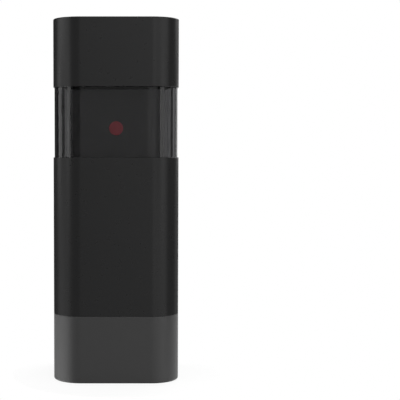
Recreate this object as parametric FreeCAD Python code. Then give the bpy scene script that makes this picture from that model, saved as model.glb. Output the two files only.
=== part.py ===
import FreeCAD, Part
import os
from math import hypot, sin, sqrt, tan

# Photoelectric beam sensor: the receiving unit of a beam pair, fixed upright to a wall or a post.
# Four moulded covers stack over one wall plate: grey base, black body, smoked window band and black cap.
# Behind the window a light shield carries a small red lens in front of the photodiode on the circuit board.
# Millimetres, +Z up, front towards -Y, origin at the middle of the underside.

# Housing
WIDTH = 40.0
DEPTH = 32.0
BASE_HEIGHT = 21.2
BODY_HEIGHT = 50.0
WINDOW_HEIGHT = 22.2
CAP_HEIGHT = 21.6
WALL = 2.4
CORNER_RADIUS = 9.0
REAR_EDGE_RADIUS = 1.2
TOP_BEVEL = 0.4
FOOT_BEVEL = 0.6
PARTING_BEVEL = 0.25
WALL_STAND_OFF = 0.3

# Lap joints between the stacked covers: an outer skirt covers the spigot of the next piece
LAP_DEPTH = 4.0
SKIRT = 1.1
LAP_CLEARANCE = 0.1
LAP_END_GAP = 0.2
WINDOW_INSET = 0.35

# Stiffening ribs inside the body
BODY_RIB_SPACING = 14.0
BODY_RIB_THICKNESS = 1.2
BODY_RIB_DEPTH = 2.0
BODY_RIB_END_GAP = 2.0

# Wall plate
PLATE_CLEARANCE = 0.2
PLATE_THICKNESS = 2.8
PLATE_CORNER_CUT = 1.2
RIM_HEIGHT = 2.8
RIM_THICKNESS = 2.2
RELIEF_DEPTH = 0.8
RELIEF_LAND = 3.0
FIXING_HOLE_RADIUS = 2.2
FIXING_LAND = 5.0
LOWER_FIXING_RISE = 13.4
UPPER_FIXING_DROP = 10.4

# Seal in the edge of the wall plate
SEAL_GROOVE_DEPTH = 1.0
SEAL_WIDTH = 1.5
SEAL_SIDE_CLEARANCE = 0.05
SEAL_SETBACK = 2.0

# Catch between the wall plate and the cap
TONGUE_WIDTH = 9.6
TONGUE_THICKNESS = 1.8
TONGUE_DROP = 3.7
BARB_RISE = 1.0
BARB_LENGTH = 0.8
CATCH_THICKNESS = 1.8
CATCH_SIDE_WALL = 2.4
CATCH_BAR = 1.8
CATCH_CLEARANCE = 0.2
RIM_GAP = 0.4

# Screw that holds the base to the wall plate
BASE_SCREW_RADIUS = 1.5
BASE_SCREW_LENGTH = 8.0
BASE_SCREW_HEAD_RADIUS = 2.8
BASE_SCREW_HEAD_HEIGHT = 1.9
BASE_SCREW_RECESS = 2.3
SCREW_CLEARANCE = 0.15
THREAD_CLEARANCE = 0.02
BASE_BOSS_WALL = 1.2
LUG_WIDTH = 8.0
LUG_HEIGHT = 6.0
BASE_SCREW_HEAD_BEVEL = 0.6

# Cable grommet
GROMMET_GAP = 0.6
CABLE_BORE_RADIUS = 3.0
GROMMET_WALL = 2.0
GROMMET_LIP = 1.6
GROMMET_INNER_LIP_HEIGHT = 1.6
GROMMET_OUTER_LIP_HEIGHT = 0.7
GROMMET_CLEARANCE = 0.05

# Circuit board
BOARD_THICKNESS = 1.6
BOARD_STAND_OFF = 7.6
BOARD_SIDE_GAP = 2.1
BOARD_CABLE_GAP = 4.0
BOARD_TOP_MARGIN = 5.0
BOARD_SCREW_INSET_X = 3.0
BOARD_SCREW_INSET_Z = 2.5
BOARD_SCREW_RADIUS = 1.1
BOARD_SCREW_LENGTH = 7.0
BOARD_SCREW_HEAD_RADIUS = 2.0
BOARD_SCREW_HEAD_HEIGHT = 1.5
BOARD_BOSS_WALL = 1.2
HOOK_WIDTH = 4.0
HOOK_THICKNESS = 1.6
HOOK_LIP = 0.8
HOOK_CLEARANCE = 0.1
BOARD_HOLE_CLEARANCE = 0.1
LEG_TAIL = 1.2

# Light shield behind the window
PANEL_SIDE_GAP = 3.8
PANEL_FACET_WIDTH = 2.55
PANEL_FACET_DEPTH = 0.4
PANEL_GAP = 0.45
PANEL_TOP_GAP = 0.85
PANEL_TUCK = 1.6
PANEL_THICKNESS = 1.6
SHIELD_INSET = 0.6
SHIELD_WALL = 1.4
SNOOT_WALL = 1.2
SNOOT_END_GAP = 0.4
POST_RADIUS = 1.7
PEG_RADIUS = 1.0
PEG_TAIL = 0.8

# Lens
LENS_RISE = 9.2
LENS_RADIUS = 2.18
LENS_DOME = 0.5
LENS_FLANGE = 0.8
LENS_FLANGE_THICKNESS = 0.9
LENS_CLEARANCE = 0.03

# Photodiode
DIODE_WIDTH = 4.2
DIODE_LENGTH = 3.8
DIODE_HEIGHT = 1.8
DIODE_FACE = 2.8
DIODE_FACE_DEPTH = 0.15
DIODE_LEG_PITCH = 2.54
DIODE_LEG_SIZE = 0.5

# Terminal block
TERMINAL_WAYS = 4
TERMINAL_PITCH = 5.0
TERMINAL_DEPTH = 8.0
TERMINAL_HEIGHT = 10.0
TERMINAL_BOARD_MARGIN = 1.6
TERMINAL_BEVEL = 1.8
TERMINAL_WELL_RADIUS = 1.6
TERMINAL_ENTRY_WIDTH = 3.4
TERMINAL_ENTRY_HEIGHT = 4.0
TERMINAL_ENTRY_DEPTH = 6.0
TERMINAL_ENTRY_FLOOR = 2.4
TERMINAL_LEG_SIZE = 0.9
CLAMP_CLEARANCE = 0.1
CLAMP_WALL = 0.6
CLAMP_LENGTH = 4.0
CLAMP_SETBACK = 1.2
TERMINAL_SCREW_SINK = 1.2
TERMINAL_SCREW_SLOT = 0.5

# Parts on the board below the light shield
PARTS_DROP = 2.6
PARTS_SIDE_MARGIN = 1.6
RELAY_WIDTH = 10.0
RELAY_LENGTH = 15.0
RELAY_HEIGHT = 11.0
RELAY_BEVEL = 0.6
RELAY_LEG_SIZE = 0.7
RELAY_LEG_INSET = 1.3
CAPACITOR_RADIUS = 4.0
CAPACITOR_LENGTH = 11.5
CAPACITOR_BEVEL = 0.5
CAPACITOR_LEG_PITCH = 3.5
CAPACITOR_LEG_SIZE = 0.5
RECTIFIER_GAP = 1.2
RECTIFIER_WIDTH = 8.3
RECTIFIER_LENGTH = 6.4
RECTIFIER_HEIGHT = 3.2
RECTIFIER_STAND_OFF = 0.5
RECTIFIER_LEG_PITCH = 5.08
RECTIFIER_LEG_SIZE = 0.5
REGULATOR_RADIUS = 2.3
REGULATOR_FLAT = 1.3
REGULATOR_LENGTH = 4.6
REGULATOR_STAND_OFF = 2.0
REGULATOR_LEG_PITCH = 1.27
REGULATOR_LEG_SIZE = 0.45
REGULATOR_GAP = 3.0

# Surface mounted parts
CHIP_WIDTH = 3.9
CHIP_LENGTH = 4.9
CHIP_HEIGHT = 1.5
CHIP_STAND_OFF = 0.15
CHIP_LEGS_A_SIDE = 4
CHIP_LEG_PITCH = 1.27
CHIP_LEG_WIDTH = 0.42
CHIP_LEG_THICKNESS = 0.2
CHIP_LEG_REACH = 1.05
CHIP_FOOT = 0.5
CONTROLLER_DROP = 5.0
PASSIVE_LENGTH = 2.0
PASSIVE_WIDTH = 1.25
PASSIVE_HEIGHT = 0.6
RESISTOR_COUNT = 6
RESISTOR_PITCH = 3.6
CERAMIC_COUNT = 3
CERAMIC_PITCH = 2.2
CERAMIC_GAP = 1.4

# Places worked out from the sizes above
BODY_BOTTOM = BASE_HEIGHT
WINDOW_BOTTOM = BODY_BOTTOM + BODY_HEIGHT
CAP_BOTTOM = WINDOW_BOTTOM + WINDOW_HEIGHT
HEIGHT = CAP_BOTTOM + CAP_HEIGHT
FRONT = -DEPTH / 2
BACK = DEPTH / 2
COVER_REAR = BACK - WALL_STAND_OFF
INNER_HALF = WIDTH / 2 - WALL
BREAK_OUT = 1.0
TINY = 1e-6

PLATE_HALF = INNER_HALF - PLATE_CLEARANCE
PLATE_BOTTOM = WALL + PLATE_CLEARANCE
PLATE_TOP = HEIGHT - WALL - PLATE_CLEARANCE
PLATE_FRONT = BACK - PLATE_THICKNESS
RIM_FRONT = PLATE_FRONT - RIM_HEIGHT
SEAL_BACK = BACK - SEAL_SETBACK
SEAL_FRONT = SEAL_BACK - SEAL_WIDTH
FIXING_HEIGHTS = (PLATE_BOTTOM + LOWER_FIXING_RISE, PLATE_TOP - UPPER_FIXING_DROP)

CATCH_REAR = RIM_FRONT - RIM_GAP
CATCH_FRONT = CATCH_REAR - CATCH_THICKNESS
TONGUE_TOP = PLATE_TOP - TONGUE_DROP
TONGUE_BOTTOM = TONGUE_TOP - TONGUE_THICKNESS
TONGUE_TIP = CATCH_FRONT - CATCH_CLEARANCE - BARB_LENGTH

BASE_BOSS_RADIUS = BASE_SCREW_HEAD_RADIUS + SCREW_CLEARANCE + BASE_BOSS_WALL
BASE_SCREW_Y = RIM_FRONT - RIM_GAP - BASE_BOSS_RADIUS
LUG_BOTTOM = PLATE_BOTTOM + RIM_THICKNESS
LUG_FRONT = BASE_SCREW_Y - LUG_WIDTH / 2

GROMMET_NECK_RADIUS = CABLE_BORE_RADIUS + GROMMET_WALL
GROMMET_LIP_RADIUS = GROMMET_NECK_RADIUS + GROMMET_LIP
RELIEF_BOTTOM = FIXING_HEIGHTS[0] + FIXING_LAND
RELIEF_TOP = FIXING_HEIGHTS[1] - FIXING_LAND
CABLE_HEIGHT = RELIEF_BOTTOM + GROMMET_GAP + GROMMET_LIP_RADIUS
RELIEF_FLOOR = BACK - RELIEF_DEPTH

BOARD_BACK = PLATE_FRONT - BOARD_STAND_OFF
BOARD_FRONT = BOARD_BACK - BOARD_THICKNESS
BOARD_HALF = INNER_HALF - BOARD_SIDE_GAP
BOARD_BOTTOM = CABLE_HEIGHT + CABLE_BORE_RADIUS + BOARD_CABLE_GAP
LEG_END = BOARD_BACK + LEG_TAIL

PANEL_HALF = INNER_HALF - PANEL_SIDE_GAP
PANEL_BOTTOM = WINDOW_BOTTOM - PANEL_TUCK
PANEL_TOP = CAP_BOTTOM - PANEL_TOP_GAP
BOARD_TOP = PANEL_TOP + BOARD_TOP_MARGIN
SHIELD_HALF = PANEL_HALF - SHIELD_INSET
SHIELD_BOTTOM = PANEL_BOTTOM + SHIELD_INSET
SHIELD_TOP = PANEL_TOP - SHIELD_INSET
INNER_CORNER_RADIUS = CORNER_RADIUS - WALL
PANEL_OVERHANG = max(0.0, PANEL_HALF - (WIDTH / 2 - CORNER_RADIUS))
PANEL_SETBACK = INNER_CORNER_RADIUS - sqrt(INNER_CORNER_RADIUS**2 - PANEL_OVERHANG**2)
PANEL_FRONT = FRONT + WALL + max(0.0, PANEL_SETBACK - PANEL_FACET_DEPTH) + PANEL_GAP
PANEL_BACK = PANEL_FRONT + PANEL_THICKNESS

LENS_HEIGHT = WINDOW_BOTTOM + LENS_RISE
LENS_FLANGE_RADIUS = LENS_RADIUS + LENS_FLANGE
DIODE_HALF_DIAGONAL = hypot(DIODE_WIDTH, DIODE_LENGTH) / 2
SNOOT_BORE_RADIUS = max(LENS_FLANGE_RADIUS, DIODE_HALF_DIAGONAL) + LENS_CLEARANCE
SNOOT_RADIUS = SNOOT_BORE_RADIUS + SNOOT_WALL
LENS_SEAT = PANEL_BACK - LENS_FLANGE_THICKNESS

TERMINAL_HALF = TERMINAL_WAYS * TERMINAL_PITCH / 2
TERMINAL_BOTTOM = BOARD_BOTTOM + TERMINAL_BOARD_MARGIN
TERMINAL_TOP = TERMINAL_BOTTOM + TERMINAL_DEPTH
TERMINAL_MIDDLE = TERMINAL_BOTTOM + TERMINAL_DEPTH / 2
TERMINAL_FRONT = BOARD_FRONT - TERMINAL_HEIGHT
ENTRY_BACK = BOARD_FRONT - TERMINAL_ENTRY_FLOOR
ENTRY_FRONT = ENTRY_BACK - TERMINAL_ENTRY_HEIGHT

PARTS_TOP = SHIELD_BOTTOM - PARTS_DROP
RELAY_LEFT = -BOARD_HALF + PARTS_SIDE_MARGIN
RELAY_RIGHT = RELAY_LEFT + RELAY_WIDTH
RELAY_BOTTOM = PARTS_TOP - RELAY_LENGTH
CAPACITOR_X = BOARD_HALF - PARTS_SIDE_MARGIN - CAPACITOR_RADIUS
CAPACITOR_Z = PARTS_TOP - CAPACITOR_RADIUS
RECTIFIER_Z = CAPACITOR_Z - CAPACITOR_RADIUS - RECTIFIER_GAP - RECTIFIER_LENGTH / 2
MIDDLE_X = (RELAY_RIGHT + CAPACITOR_X - CAPACITOR_RADIUS) / 2
CONTROLLER_Z = PARTS_TOP - CONTROLLER_DROP
REGULATOR_Z = CONTROLLER_Z - CHIP_LENGTH / 2 - REGULATOR_GAP - REGULATOR_RADIUS
AMPLIFIER_X = (SNOOT_RADIUS + SHIELD_HALF - SHIELD_WALL) / 2
RESISTOR_Z = (TERMINAL_TOP + RELAY_BOTTOM) / 2
CERAMIC_Z = CONTROLLER_Z + CHIP_LENGTH / 2 + CERAMIC_GAP

AXES = {"x": FreeCAD.Vector(1, 0, 0), "y": FreeCAD.Vector(0, 1, 0), "z": FreeCAD.Vector(0, 0, 1)}


def in_space(axis, level, u, v):
    """Point u, v of the plane across axis at that level; u and v are along the other axes in order."""
    places = {"x": (level, u, v), "y": (u, level, v), "z": (u, v, level)}
    return FreeCAD.Vector(*places[axis])


def outline(corners, axis, level):
    """Closed wire through (u, v, radius) corners, each corner turned by a tangent arc of its radius."""
    points = [FreeCAD.Vector(u, v, 0) for u, v, _ in corners]
    turns = []
    for i, (_, _, radius) in enumerate(corners):
        here = points[i]
        to_last = (points[i - 1] - here).normalize()
        to_next = (points[(i + 1) % len(points)] - here).normalize()
        half_angle = to_last.getAngle(to_next) / 2
        reach = radius / tan(half_angle)
        bulge = radius / sin(half_angle) - radius
        middle = here + (to_last + to_next).normalize() * bulge
        flat = (here + to_last * reach, middle, here + to_next * reach)
        turns.append([in_space(axis, level, point.x, point.y) for point in flat])
    edges = []
    for (start, middle, end), (next_start, _, _) in zip(turns, turns[1:] + turns[:1]):
        if start.distanceToPoint(end) > TINY:
            edges.append(Part.Arc(start, middle, end).toShape())
        if end.distanceToPoint(next_start) > TINY:
            edges.append(Part.makeLine(end, next_start))
    return Part.Wire(edges)


def prism(corners, axis, start, end):
    """Solid of an outline carried along axis from start to end."""
    face = Part.Face(outline(corners, axis, start))
    return face.extrude(AXES[axis] * (end - start))


def block(x0, x1, y0, y1, z0, z1):
    """Plain box between those faces."""
    return Part.makeBox(x1 - x0, y1 - y0, z1 - z0, FreeCAD.Vector(x0, y0, z0))


def rod(radius, axis, start, end, u, v):
    """Round bar along axis from start to end, with its centre at u, v across the axis."""
    return Part.makeCylinder(radius, end - start, in_space(axis, start, u, v), AXES[axis])


def turned(profile, x, z):
    """Solid turned about the front-to-back line through x, z, from (radius, y) points beside that line."""
    points = [FreeCAD.Vector(radius, y, 0) for radius, y in profile]
    solid = Part.Face(Part.makePolygon(points + points[:1])).revolve(FreeCAD.Vector(), AXES["y"], 360)
    return solid.translate(FreeCAD.Vector(x, 0, z))


def dome(radius, rise, y, x, z):
    """Round cap of that rise, standing on a disc at y and bulging towards the front."""
    ball = (radius**2 + rise**2) / (2 * rise)
    sphere = Part.makeSphere(ball, FreeCAD.Vector(x, y - rise + ball, z))
    return sphere.common(rod(radius, "y", y - rise, y, x, z))


def joined(first, *others):
    """One solid from several that touch or overlap, with the seams between their flush faces removed."""
    return first.fuse(list(others)).removeSplitter()


def bevel(solid, height, size):
    """Cuts a small bevel along every edge of solid that lies at that height."""
    edges = [e for e in solid.Edges if all(abs(v.Z - height) < TINY for v in e.Vertexes)]
    return solid.makeChamfer(size, edges)


def leg(size, start, x, z):
    """Square leg at x, z from start through the board."""
    half = size / 2
    return block(x - half, x + half, start, LEG_END, z - half, z + half)


def housing_plan(inset, rear, rear_radius=0.0):
    """D-shaped plan of the housing, set in from its outer face: round front corners and a straight rear."""
    half = WIDTH / 2 - inset
    front = FRONT + inset
    radius = CORNER_RADIUS - inset
    rear_corners = [(-half, rear, rear_radius), (half, rear, rear_radius)]
    return rear_corners + [(half, front, radius), (-half, front, radius)]


def cover_block(bottom, top):
    """Outer form of one cover, before it is hollowed."""
    return prism(housing_plan(0.0, COVER_REAR, REAR_EDGE_RADIUS), "z", bottom, top)


def hollow(inset, bottom, top):
    """Space inside a cover at that inset, open through the back."""
    return prism(housing_plan(inset, COVER_REAR + BREAK_OUT), "z", bottom, top)


def sleeve(outer_inset, inner_inset, bottom, top):
    """Wall of a cover between two insets, open at the back."""
    outer = prism(housing_plan(outer_inset, COVER_REAR), "z", bottom, top)
    return outer.cut(hollow(inner_inset, bottom, top))


def spigot(bottom, top):
    """Inner half of a lap joint, which slides inside the skirt of the next cover."""
    return sleeve(SKIRT + LAP_CLEARANCE, WALL, bottom, top)


def top_cap():
    """Black cap that closes the top, with a slotted catch rib hanging inside its roof."""
    shell = bevel(cover_block(CAP_BOTTOM, HEIGHT), HEIGHT, TOP_BEVEL)
    shell = bevel(shell, CAP_BOTTOM, PARTING_BEVEL)
    shell = shell.cut(hollow(WALL, CAP_BOTTOM, HEIGHT - WALL))
    shell = shell.cut(hollow(SKIRT, CAP_BOTTOM, CAP_BOTTOM + LAP_DEPTH))
    slot_half = TONGUE_WIDTH / 2 + CATCH_CLEARANCE
    slot_bottom = TONGUE_BOTTOM - CATCH_CLEARANCE
    slot_top = TONGUE_TOP + BARB_RISE + CATCH_CLEARANCE
    rib_half = slot_half + CATCH_SIDE_WALL
    rib = block(-rib_half, rib_half, CATCH_FRONT, CATCH_REAR, slot_bottom - CATCH_BAR, HEIGHT - WALL)
    rib = rib.cut(block(-slot_half, slot_half, CATCH_FRONT, CATCH_REAR, slot_bottom, slot_top))
    return joined(shell, rib)


def window_shell():
    """Smoked band round the front and both sides, a little inside the covers, with a spigot at each edge."""
    band = sleeve(WINDOW_INSET, WALL, WINDOW_BOTTOM, CAP_BOTTOM)
    reach = LAP_DEPTH - LAP_END_GAP
    upper = spigot(CAP_BOTTOM, CAP_BOTTOM + reach)
    lower = spigot(WINDOW_BOTTOM - reach, WINDOW_BOTTOM)
    return joined(band, upper, lower)


def body_shell():
    """Black middle cover, with a skirt at both ends and two stiffening ribs behind its front face."""
    shell = bevel(cover_block(BODY_BOTTOM, WINDOW_BOTTOM), WINDOW_BOTTOM, PARTING_BEVEL)
    shell = bevel(shell, BODY_BOTTOM, PARTING_BEVEL)
    shell = shell.cut(hollow(WALL, BODY_BOTTOM, WINDOW_BOTTOM))
    shell = shell.cut(hollow(SKIRT, BODY_BOTTOM, BODY_BOTTOM + LAP_DEPTH))
    shell = shell.cut(hollow(SKIRT, WINDOW_BOTTOM - LAP_DEPTH, WINDOW_BOTTOM))
    rib_bottom = BODY_BOTTOM + LAP_DEPTH + BODY_RIB_END_GAP
    rib_top = WINDOW_BOTTOM - LAP_DEPTH - BODY_RIB_END_GAP
    inner_front = FRONT + WALL
    ribs = []
    for x in (-BODY_RIB_SPACING / 2, BODY_RIB_SPACING / 2):
        left = x - BODY_RIB_THICKNESS / 2
        right = x + BODY_RIB_THICKNESS / 2
        rear = inner_front + BODY_RIB_DEPTH
        ribs.append(block(left, right, inner_front - WALL / 2, rear, rib_bottom, rib_top))
    return joined(shell, *ribs)


def base_cover():
    """Dark grey foot with a closed floor, a spigot that enters the body and a boss for its screw."""
    shell = bevel(cover_block(0.0, BASE_HEIGHT), 0.0, FOOT_BEVEL)
    shell = bevel(shell, BASE_HEIGHT, PARTING_BEVEL)
    shell = shell.cut(hollow(WALL, WALL, BASE_HEIGHT))
    lip = spigot(BASE_HEIGHT - LAP_DEPTH, BASE_HEIGHT + LAP_DEPTH - LAP_END_GAP)
    boss = rod(BASE_BOSS_RADIUS, "z", WALL / 2, LUG_BOTTOM, 0.0, BASE_SCREW_Y)
    shell = joined(shell, lip, boss)
    head_room = rod(BASE_SCREW_HEAD_RADIUS + SCREW_CLEARANCE, "z", 0.0, BASE_SCREW_RECESS, 0.0, BASE_SCREW_Y)
    shank_room = rod(BASE_SCREW_RADIUS + SCREW_CLEARANCE, "z", 0.0, LUG_BOTTOM, 0.0, BASE_SCREW_Y)
    return shell.cut([head_room, shank_room])


def base_screw():
    """Pan head screw from below, through the floor of the base into the lug of the wall plate."""
    head_bottom = BASE_SCREW_RECESS - BASE_SCREW_HEAD_HEIGHT
    head = rod(BASE_SCREW_HEAD_RADIUS, "z", head_bottom, BASE_SCREW_RECESS, 0.0, BASE_SCREW_Y)
    head = bevel(head, head_bottom, BASE_SCREW_HEAD_BEVEL)
    shank_top = BASE_SCREW_RECESS + BASE_SCREW_LENGTH
    shank = rod(BASE_SCREW_RADIUS, "z", BASE_SCREW_RECESS, shank_top, 0.0, BASE_SCREW_Y)
    return joined(head, shank)


def plate_outline(inset):
    """Rectangle of the wall plate with its corners cut off, set in from its edge."""
    half = PLATE_HALF - inset
    bottom = PLATE_BOTTOM + inset
    top = PLATE_TOP - inset
    cut = PLATE_CORNER_CUT
    lower = [(-half, bottom + cut), (-half + cut, bottom), (half - cut, bottom), (half, bottom + cut)]
    upper = [(half, top - cut), (half - cut, top), (-half + cut, top), (-half, top - cut)]
    return [(x, z, 0.0) for x, z in lower + upper]


def board_screw_places():
    """X and Z of the two screws that hold the top of the board."""
    x = BOARD_HALF - BOARD_SCREW_INSET_X
    return [(side * x, BOARD_TOP - BOARD_SCREW_INSET_Z) for side in (-1, 1)]


def board_hook(x):
    """Hook on the wall plate under the edge of the board, with a lip in front of it and a ledge behind."""
    left = x - HOOK_WIDTH / 2
    right = x + HOOK_WIDTH / 2
    lip_back = BOARD_FRONT - HOOK_CLEARANCE
    lip_front = lip_back - HOOK_THICKNESS
    bottom = BOARD_BOTTOM - HOOK_THICKNESS
    lip_top = BOARD_BOTTOM + HOOK_LIP
    profile = [
        (PLATE_FRONT, bottom, 0.0),
        (lip_front, bottom, 0.0),
        (lip_front, lip_top, 0.0),
        (lip_back, lip_top, 0.0),
        (lip_back, BOARD_BOTTOM, 0.0),
        (BOARD_BACK, BOARD_BOTTOM, 0.0),
        (BOARD_BACK, lip_top, 0.0),
        (PLATE_FRONT, lip_top, 0.0),
    ]
    return prism(profile, "x", left, right)


def wall_plate():
    """Plate on the wall: rim with a seal groove, board bosses and hooks, catch tongue and screw lug."""
    plate = prism(plate_outline(0.0), "y", RIM_FRONT, BACK)
    plate = plate.cut(prism(plate_outline(RIM_THICKNESS), "y", RIM_FRONT, PLATE_FRONT))
    groove_front = SEAL_FRONT - SEAL_SIDE_CLEARANCE
    groove_back = SEAL_BACK + SEAL_SIDE_CLEARANCE
    core = prism(plate_outline(SEAL_GROOVE_DEPTH), "y", groove_front, groove_back)
    plate = plate.cut(prism(plate_outline(-BREAK_OUT), "y", groove_front, groove_back).cut(core))
    relief_half = PLATE_HALF - RELIEF_LAND
    plate = plate.cut(block(-relief_half, relief_half, RELIEF_FLOOR, BACK, RELIEF_BOTTOM, RELIEF_TOP))

    boss_radius = BOARD_SCREW_RADIUS + BOARD_BOSS_WALL
    bosses = [rod(boss_radius, "y", BOARD_BACK, PLATE_FRONT, x, z) for x, z in board_screw_places()]
    hooks = [board_hook(x) for x, _ in board_screw_places()]
    lug_half = LUG_WIDTH / 2
    lug = block(-lug_half, lug_half, LUG_FRONT, PLATE_FRONT, LUG_BOTTOM, LUG_BOTTOM + LUG_HEIGHT)
    tongue_half = TONGUE_WIDTH / 2
    tongue = block(-tongue_half, tongue_half, TONGUE_TIP, PLATE_FRONT, TONGUE_BOTTOM, TONGUE_TOP)
    barb_back = TONGUE_TIP + BARB_LENGTH
    barb = block(-tongue_half, tongue_half, TONGUE_TIP, barb_back, TONGUE_TOP, TONGUE_TOP + BARB_RISE)
    plate = joined(plate, lug, tongue, barb, *bosses, *hooks)

    holes = [rod(FIXING_HOLE_RADIUS, "y", PLATE_FRONT, BACK, 0.0, z) for z in FIXING_HEIGHTS]
    cable_hole_radius = GROMMET_NECK_RADIUS + GROMMET_CLEARANCE
    holes.append(rod(cable_hole_radius, "y", PLATE_FRONT, RELIEF_FLOOR, 0.0, CABLE_HEIGHT))
    screw_end = BOARD_FRONT + BOARD_SCREW_LENGTH
    pilot_radius = BOARD_SCREW_RADIUS + THREAD_CLEARANCE
    holes += [rod(pilot_radius, "y", BOARD_BACK, screw_end, x, z) for x, z in board_screw_places()]
    lug_pilot_top = BASE_SCREW_RECESS + BASE_SCREW_LENGTH
    holes.append(rod(BASE_SCREW_RADIUS + THREAD_CLEARANCE, "z", LUG_BOTTOM, lug_pilot_top, 0.0, BASE_SCREW_Y))
    return plate.cut(holes)


def perimeter_seal():
    """Rubber ring in the groove of the wall plate, which meets the inside of every cover."""
    ring = prism(plate_outline(-PLATE_CLEARANCE), "y", SEAL_FRONT, SEAL_BACK)
    return ring.cut(prism(plate_outline(SEAL_GROOVE_DEPTH), "y", SEAL_FRONT, SEAL_BACK))


def cable_grommet():
    """Rubber grommet in the cable hole of the wall plate, with a lip on both sides of the plate."""
    lip_front = PLATE_FRONT - GROMMET_INNER_LIP_HEIGHT
    profile = [
        (CABLE_BORE_RADIUS, lip_front),
        (GROMMET_LIP_RADIUS, lip_front),
        (GROMMET_LIP_RADIUS, PLATE_FRONT),
        (GROMMET_NECK_RADIUS, PLATE_FRONT),
        (GROMMET_NECK_RADIUS, RELIEF_FLOOR),
        (GROMMET_LIP_RADIUS, RELIEF_FLOOR),
        (GROMMET_LIP_RADIUS, RELIEF_FLOOR + GROMMET_OUTER_LIP_HEIGHT),
        (CABLE_BORE_RADIUS, RELIEF_FLOOR + GROMMET_OUTER_LIP_HEIGHT),
    ]
    return turned(profile, 0.0, CABLE_HEIGHT)


def peg_places():
    """X and Z of the two posts of the light shield, in opposite corners."""
    x = SHIELD_HALF - SHIELD_WALL - POST_RADIUS / 2
    rise = SHIELD_WALL + POST_RADIUS / 2
    return [(-x, SHIELD_BOTTOM + rise), (x, SHIELD_TOP - rise)]


def optics_carrier():
    """Light shield: panel with a facet at both edges, walls back to the board, and a snoot at the lens."""
    facet_start = PANEL_HALF - PANEL_FACET_WIDTH
    facet_end = PANEL_FRONT + PANEL_FACET_DEPTH
    plan = [
        (-PANEL_HALF, PANEL_BACK, 0.0),
        (-PANEL_HALF, facet_end, 0.0),
        (-facet_start, PANEL_FRONT, 0.0),
        (facet_start, PANEL_FRONT, 0.0),
        (PANEL_HALF, facet_end, 0.0),
        (PANEL_HALF, PANEL_BACK, 0.0),
    ]
    panel = prism(plan, "z", PANEL_BOTTOM, PANEL_TOP)
    walls = block(-SHIELD_HALF, SHIELD_HALF, PANEL_BACK, BOARD_FRONT, SHIELD_BOTTOM, SHIELD_TOP)
    room_half = SHIELD_HALF - SHIELD_WALL
    room_bottom = SHIELD_BOTTOM + SHIELD_WALL
    room_top = SHIELD_TOP - SHIELD_WALL
    walls = walls.cut(block(-room_half, room_half, PANEL_BACK, BOARD_FRONT, room_bottom, room_top))
    snoot = rod(SNOOT_RADIUS, "y", PANEL_BACK, BOARD_FRONT - SNOOT_END_GAP, 0.0, LENS_HEIGHT)
    posts = [rod(POST_RADIUS, "y", PANEL_BACK, BOARD_FRONT, x, z) for x, z in peg_places()]
    pegs = [rod(PEG_RADIUS, "y", BOARD_FRONT, BOARD_BACK + PEG_TAIL, x, z) for x, z in peg_places()]
    carrier = joined(panel, walls, snoot, *posts, *pegs)
    bore = rod(SNOOT_BORE_RADIUS, "y", LENS_SEAT, BOARD_FRONT, 0.0, LENS_HEIGHT)
    aperture = rod(LENS_RADIUS + LENS_CLEARANCE, "y", PANEL_FRONT, LENS_SEAT, 0.0, LENS_HEIGHT)
    return carrier.cut([bore, aperture])


def beam_lens():
    """Red domed lens, pushed into the panel from behind until its flange meets the seat."""
    flange = rod(LENS_FLANGE_RADIUS, "y", LENS_SEAT, PANEL_BACK, 0.0, LENS_HEIGHT)
    barrel = rod(LENS_RADIUS, "y", PANEL_FRONT, LENS_SEAT, 0.0, LENS_HEIGHT)
    return joined(flange, barrel, dome(LENS_RADIUS, LENS_DOME, PANEL_FRONT, 0.0, LENS_HEIGHT))


def photodiode_legs():
    """X and Z of the two legs of the photodiode."""
    return [(side * DIODE_LEG_PITCH / 2, LENS_HEIGHT) for side in (-1, 1)]


def photodiode():
    """Flat photodiode on the board inside the snoot, with its square face sunk a little in the package."""
    front = BOARD_FRONT - DIODE_HEIGHT
    half_x = DIODE_WIDTH / 2
    half_z = DIODE_LENGTH / 2
    body = block(-half_x, half_x, front, BOARD_FRONT, LENS_HEIGHT - half_z, LENS_HEIGHT + half_z)
    half_face = DIODE_FACE / 2
    face_floor = front + DIODE_FACE_DEPTH
    face = block(-half_face, half_face, front, face_floor, LENS_HEIGHT - half_face, LENS_HEIGHT + half_face)
    legs = [leg(DIODE_LEG_SIZE, BOARD_FRONT, x, z) for x, z in photodiode_legs()]
    return joined(body.cut(face), *legs)


def terminal_ways():
    """X of each way of the terminal block."""
    return [(i + 0.5) * TERMINAL_PITCH - TERMINAL_HALF for i in range(TERMINAL_WAYS)]


def terminal_legs():
    """X and Z of the legs of the terminal block."""
    return [(x, TERMINAL_MIDDLE) for x in terminal_ways()]


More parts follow.
